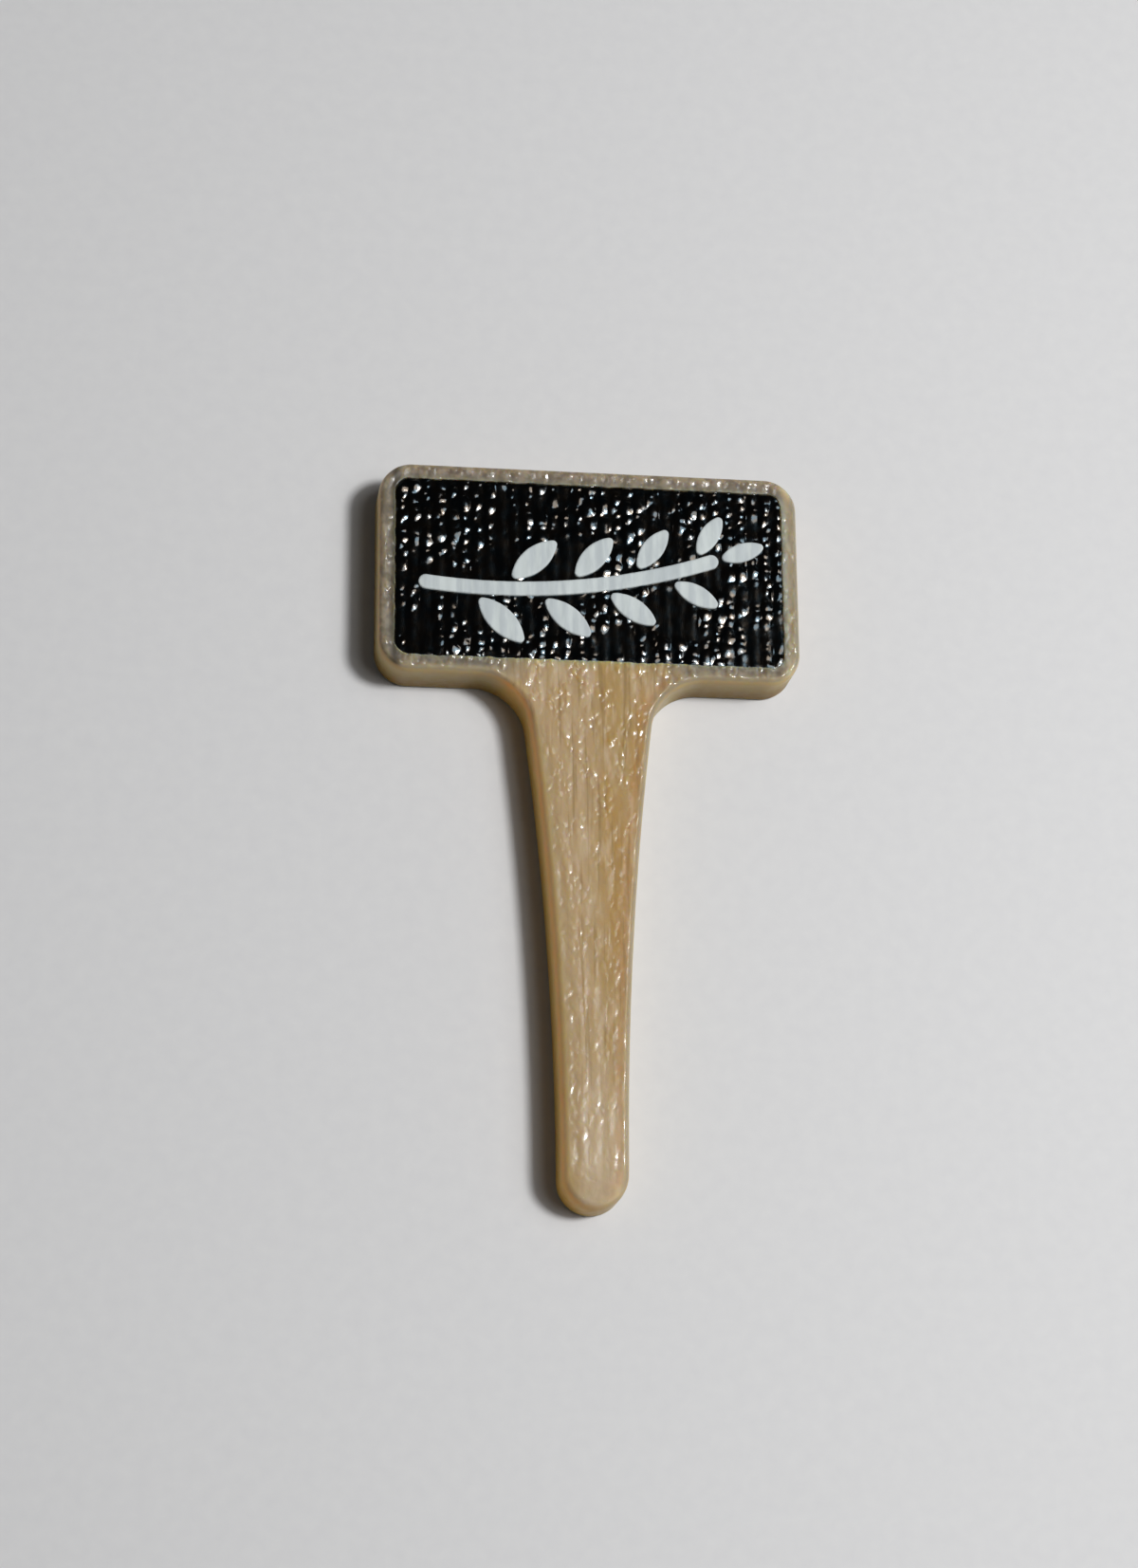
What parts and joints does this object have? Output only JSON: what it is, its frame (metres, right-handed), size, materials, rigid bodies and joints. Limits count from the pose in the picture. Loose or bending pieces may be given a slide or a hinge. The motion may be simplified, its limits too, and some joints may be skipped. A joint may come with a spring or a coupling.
{
  "type": "plant label stake",
  "caption": "Miniature T-shaped plant label: a wide head with a black inlaid panel and a white leaf sprig, on a tapering stake with a round tip.",
  "frame": {"origin": "middle of the outline, on the flat back face that the label lies on", "axes": "+X across the head to its right, +Y from the stake's tip to the head, +Z out of the front face"},
  "size_m": [0.014, 0.0247, 0.0018],
  "materials": {
    "tan_plastic": "tan printed plastic under a clear gloss varnish",
    "black_film": "black printed inlay under a clear gloss varnish",
    "white_mark": "matte white inlay"
  },
  "bodies": {
    "root": {"stake_body": "tan_plastic", "label_panel": "black_film", "sprig_stem": "white_mark", "sprig_leaf_1": "white_mark", "sprig_leaf_2": "white_mark", "sprig_leaf_3": "white_mark", "sprig_leaf_4": "white_mark", "sprig_leaf_5": "white_mark", "sprig_leaf_6": "white_mark", "sprig_leaf_7": "white_mark", "sprig_leaf_8": "white_mark", "sprig_end_leaf": "white_mark"}
  },
  "joints": []
}
